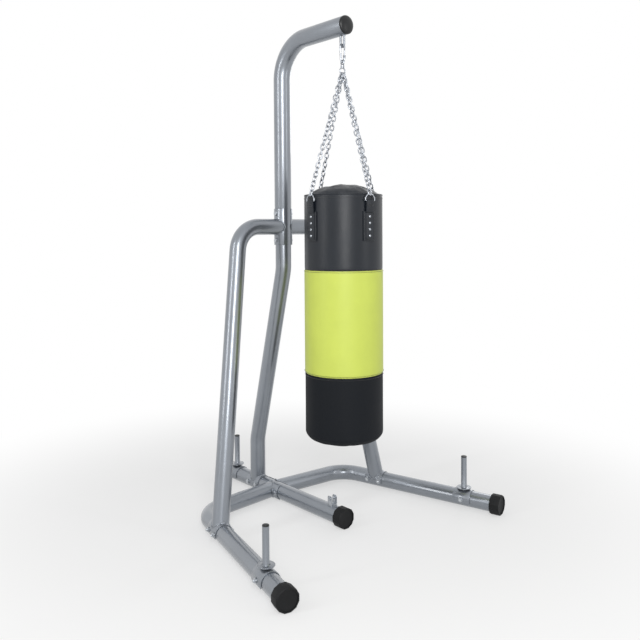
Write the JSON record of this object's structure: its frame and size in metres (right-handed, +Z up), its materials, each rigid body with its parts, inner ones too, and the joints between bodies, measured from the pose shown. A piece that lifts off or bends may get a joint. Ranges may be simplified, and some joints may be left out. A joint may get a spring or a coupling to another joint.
{
  "type": "punching bag on stand",
  "caption": "Free-standing tubular steel stand with forward feet, plate pegs and an overhead arm, carrying a cylindrical punching bag on a snap hook, swivel and chains.",
  "frame": {"origin": "middle of the footprint, on the floor under the foot caps", "axes": "+X to the stand's right, +Y towards the back, away from the arm's tip, +Z up"},
  "size_m": [1.26, 1.2464, 2.0843],
  "materials": {
    "silver_paint": "satin",
    "zinc_steel": "satin",
    "chrome_steel": "gloss",
    "foot_rubber": "matte",
    "black_plastic": "satin",
    "black_vinyl": "satin",
    "green_vinyl": "satin",
    "liner_foam": "matte",
    "rag_filling": "matte"
  },
  "bodies": {
    "stand": {"middle_base_tube": "silver_paint", "left_base_tube": "silver_paint", "right_base_tube": "silver_paint", "left_arch_tube": "silver_paint", "right_arch_tube": "silver_paint", "lower_post": "silver_paint", "upper_post_arm": "silver_paint", "hanger_eye": "silver_paint", "left_plate_peg": "silver_paint", "right_plate_peg": "silver_paint", "rear_plate_peg": "silver_paint", "left_foot_cap": "foot_rubber", "right_foot_cap": "foot_rubber", "front_foot_cap": "foot_rubber", "rear_foot_cap": "foot_rubber", "arm_end_plug": "black_plastic", "left_peg_cap": "black_plastic", "right_peg_cap": "black_plastic", "rear_peg_cap": "black_plastic", "tether_bracket": "zinc_steel", "tether_pin": "zinc_steel", "left_peg_bolt": "zinc_steel", "right_peg_bolt": "zinc_steel", "rear_peg_bolt": "zinc_steel", "crossing_bolt_front": "zinc_steel", "crossing_bolt_rear": "zinc_steel", "post_foot_bolt_front": "zinc_steel", "post_foot_bolt_rear": "zinc_steel", "arch_bolt_lower": "zinc_steel", "arch_bolt_upper": "zinc_steel", "left_arch_foot_bolt_rear": "zinc_steel", "left_arch_foot_bolt_front": "zinc_steel", "right_arch_foot_bolt_rear": "zinc_steel", "right_arch_foot_bolt_front": "zinc_steel"},
    "snap_hook": {"snap_hook": "chrome_steel"},
    "hook_gate": {"hook_gate": "chrome_steel"},
    "swivel": {"swivel_eye": "chrome_steel"},
    "bag": {"swivel_ring": "chrome_steel", "bag_upper_panel": "black_vinyl", "bag_green_band": "green_vinyl", "bag_lower_panel": "black_vinyl", "bag_foam_liner": "liner_foam", "bag_filling": "rag_filling", "bag_top_cover": "black_vinyl", "right_strap": "black_vinyl", "right_d_ring": "chrome_steel", "right_chain": "chrome_steel", "rear_strap": "black_vinyl", "rear_d_ring": "chrome_steel", "rear_chain": "chrome_steel", "left_strap": "black_vinyl", "left_d_ring": "chrome_steel", "left_chain": "chrome_steel", "front_strap": "black_vinyl", "front_d_ring": "chrome_steel", "front_chain": "chrome_steel"}
  },
  "joints": [
    {"name": "side_swing", "type": "hinge", "parent": "stand", "child": "snap_hook", "pos_m": [0, -0.25881, 1.964], "axis": [0, 1, 0], "range_deg": [-25, 25]},
    {"name": "gate_hinge", "type": "hinge", "parent": "snap_hook", "child": "hook_gate", "pos_m": [0.01, -0.25881, 1.9263], "axis": [0, 1, 0], "range_deg": [-22, 0], "stiffness_Nm_per_rad": 0.04},
    {"name": "fore_aft_swing", "type": "hinge", "parent": "snap_hook", "child": "swivel", "pos_m": [0, -0.25881, 1.9023], "axis": [1, 0, 0], "range_deg": [-35, 3]},
    {"name": "bag_spin", "type": "hinge", "parent": "swivel", "child": "bag", "pos_m": [0, -0.25881, 1.88], "axis": [0, 0, 1], "continuous": true}
  ]
}
